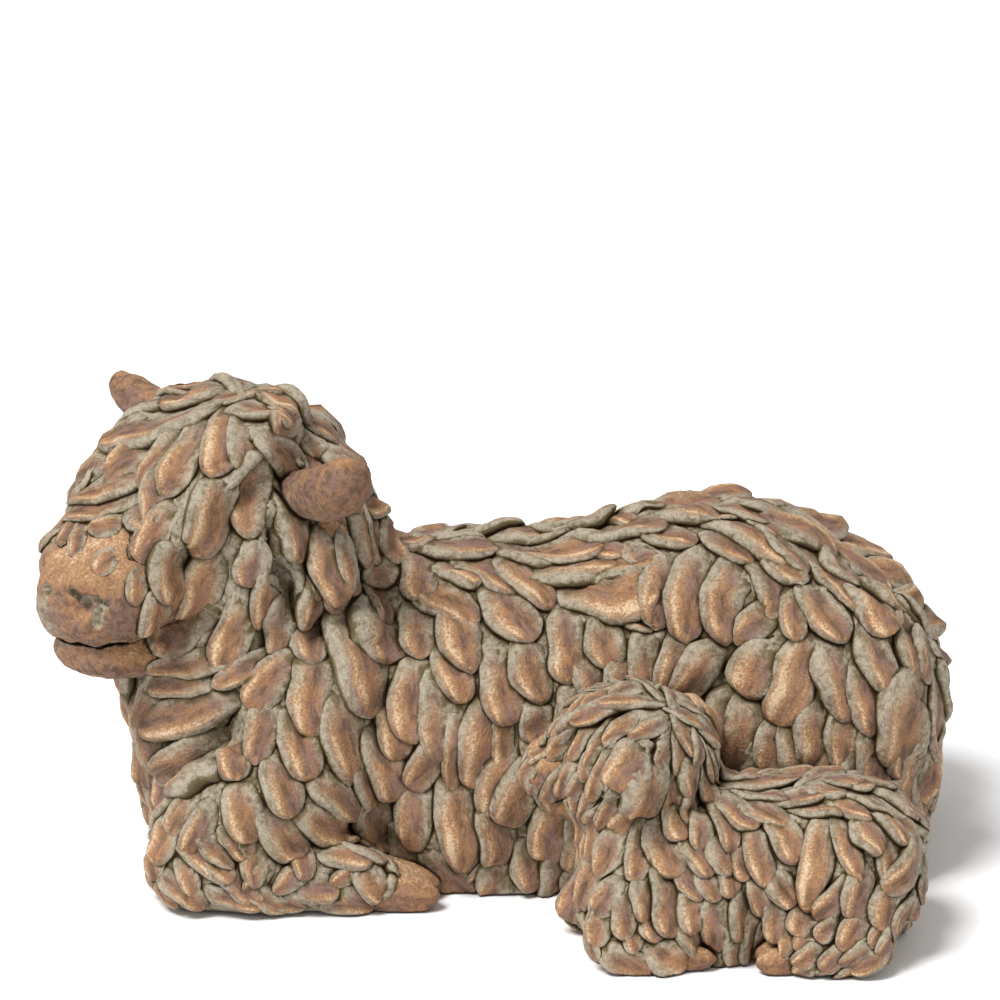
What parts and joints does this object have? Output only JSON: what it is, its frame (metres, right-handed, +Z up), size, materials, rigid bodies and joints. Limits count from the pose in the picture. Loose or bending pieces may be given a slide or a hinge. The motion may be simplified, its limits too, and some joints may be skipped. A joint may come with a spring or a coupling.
{
  "type": "cattle figurine",
  "caption": "Shaggy long-haired cow lying down with its calf against its near flank, covered in overlapping leaf-shaped locks under a bronzed finish; free-standing ornament with a flat base.",
  "frame": {"origin": "on the ground under the middle of the whole figure", "axes": "both animals face -X, so +X runs from the muzzles to the rumps; the calf lies on the -Y side; +Z is up"},
  "size_m": [0.4448, 0.323, 0.2374],
  "materials": {
    "coat": "satin, bronzed on the crests of the locks, with a grey-green wash in the hollows",
    "bare": "satin, brushed bronze over brown"
  },
  "bodies": {
    "root": {"cow_horn_left": "bare", "cow_horn_right": "bare", "cow_ear_left": "coat", "cow_ear_right": "coat", "cow_muzzle": "bare", "cow_jaw": "bare", "cow_forelock": "coat", "cow_skull": "coat", "cow_fore_hoof_left": "bare", "cow_shank_left": "coat", "cow_forearm_left": "coat", "cow_fore_hoof_right": "bare", "cow_shank_right": "coat", "cow_forearm_right": "coat", "cow_hind_hoof_right": "bare", "cow_hind_shank_right": "coat", "cow_neck": "coat", "cow_shoulder_left": "coat", "cow_shoulder_right": "coat", "cow_haunch_left": "coat", "cow_haunch_right": "coat", "cow_tail": "coat", "cow_barrel": "coat", "calf_ear_left": "coat", "calf_ear_right": "coat", "calf_muzzle": "bare", "calf_jaw": "bare", "calf_forelock": "coat", "calf_skull": "coat", "calf_fore_hoof_left": "bare", "calf_shank_left": "coat", "calf_forearm_left": "coat", "calf_fore_hoof_right": "bare", "calf_shank_right": "coat", "calf_forearm_right": "coat", "calf_hind_hoof_left": "bare", "calf_hind_shank_left": "coat", "calf_neck": "coat", "calf_shoulder_left": "coat", "calf_haunch_left": "coat", "calf_tail": "coat", "calf_barrel": "coat"}
  },
  "joints": []
}
